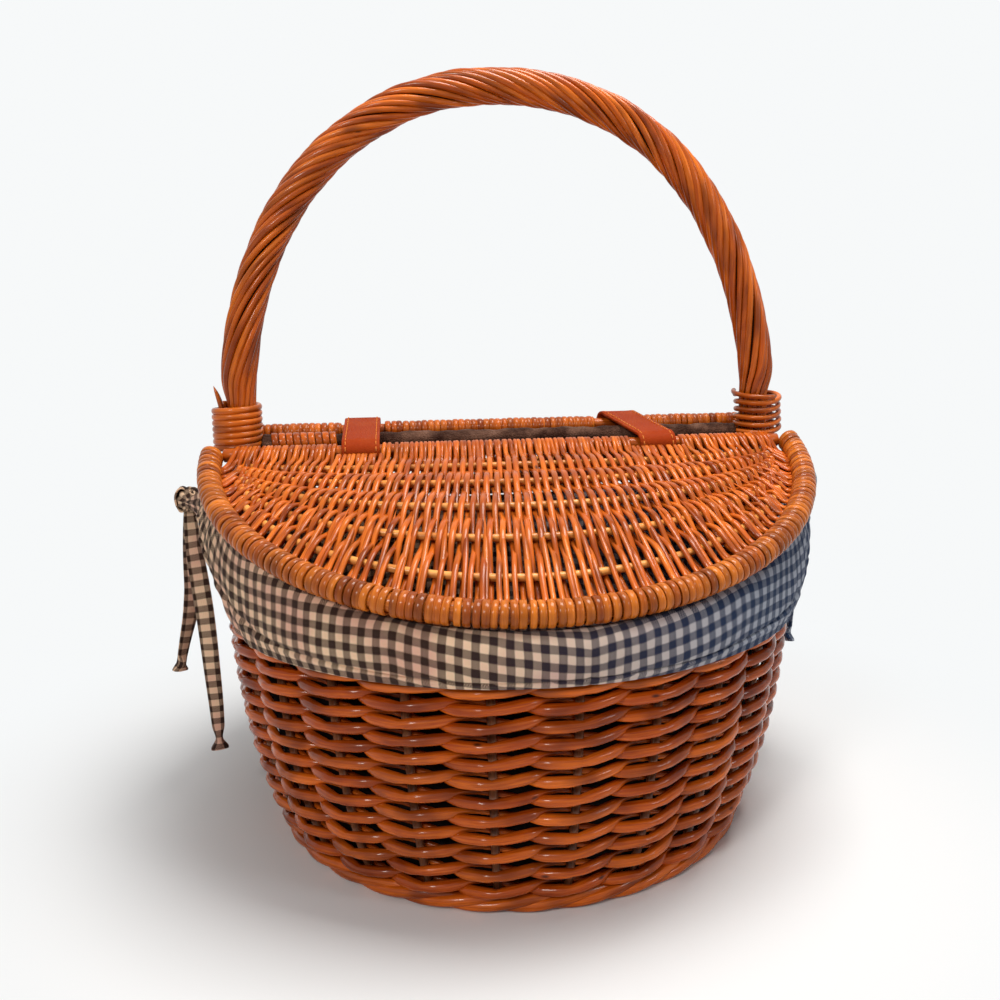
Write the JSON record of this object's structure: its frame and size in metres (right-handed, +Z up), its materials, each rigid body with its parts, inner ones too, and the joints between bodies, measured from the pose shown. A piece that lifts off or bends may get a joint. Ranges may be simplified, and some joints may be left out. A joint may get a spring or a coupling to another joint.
{
  "type": "lidded pie basket",
  "caption": "Round bowl-shaped willow basket with a tall fixed twisted handle, two hinged half-moon lids and a gingham lining folded over the rim.",
  "frame": {"origin": "centre of the base's flat underside, on the surface that the basket stands on", "axes": "+Z up, +X to the right along the handle's span, +Y to the rear; the front lid is towards -Y"},
  "size_m": [0.3992, 0.3456, 0.4315],
  "materials": {
    "body_willow": "varnished willow rods, red-brown, glossy",
    "lid_willow": "varnished willow rods, bright orange-brown, glossy",
    "handle_willow": "varnished twisted willow, red-brown, glossy",
    "bar_willow": "dark unpeeled willow bar, satin",
    "hinge_leather": "tan-brown leather with orange stitches, satin",
    "gingham_cloth": "cotton gingham, cream with dark blue-grey checks"
  },
  "bodies": {
    "basket": {"side_weave": "body_willow", "foot_border": "body_willow", "rim_border": "body_willow", "base_disc": "body_willow", "stake_01": "body_willow", "stake_02": "body_willow", "stake_03": "body_willow", "stake_04": "body_willow", "stake_05": "body_willow", "stake_06": "body_willow", "stake_07": "body_willow", "stake_08": "body_willow", "stake_09": "body_willow", "stake_10": "body_willow", "stake_11": "body_willow", "stake_12": "body_willow", "stake_13": "body_willow", "stake_14": "body_willow", "stake_15": "body_willow", "stake_16": "body_willow", "stake_17": "body_willow", "stake_18": "body_willow", "stake_19": "body_willow", "stake_20": "body_willow", "stake_21": "body_willow", "stake_22": "body_willow", "stake_23": "body_willow", "stake_24": "body_willow", "handle": "handle_willow", "left_binding": "handle_willow", "right_binding": "handle_willow", "left_rod_end": "handle_willow", "centre_bar": "bar_willow", "left_hinge_strap": "hinge_leather", "right_hinge_strap": "hinge_leather", "liner_bag": "gingham_cloth", "front_flap": "gingham_cloth", "rear_flap": "gingham_cloth", "left_tie_knot": "gingham_cloth", "left_tie_long_end": "gingham_cloth", "left_tie_short_end": "gingham_cloth", "right_tie_knot": "gingham_cloth", "right_tie_long_end": "gingham_cloth", "right_tie_short_end": "gingham_cloth"},
    "front_lid": {"front_lid_rim": "lid_willow", "front_lid_hinge_rod": "lid_willow", "front_lid_weave": "lid_willow", "front_lid_rib_1": "lid_willow", "front_lid_rib_2": "lid_willow", "front_lid_rib_3": "lid_willow", "front_lid_rib_4": "lid_willow", "front_lid_rib_5": "lid_willow"},
    "rear_lid": {"rear_lid_rim": "lid_willow", "rear_lid_hinge_rod": "lid_willow", "rear_lid_weave": "lid_willow", "rear_lid_rib_1": "lid_willow", "rear_lid_rib_2": "lid_willow", "rear_lid_rib_3": "lid_willow", "rear_lid_rib_4": "lid_willow", "rear_lid_rib_5": "lid_willow"}
  },
  "joints": [
    {"name": "front_lid_hinge", "type": "hinge", "parent": "basket", "child": "front_lid", "pos_m": [0, -0.01995, 0.215], "axis": [-1, 0, 0], "range_deg": [0, 113]},
    {"name": "rear_lid_hinge", "type": "hinge", "parent": "basket", "child": "rear_lid", "pos_m": [0, 0.01995, 0.2225], "axis": [1, 0, 0], "range_deg": [0, 115.5]}
  ]
}
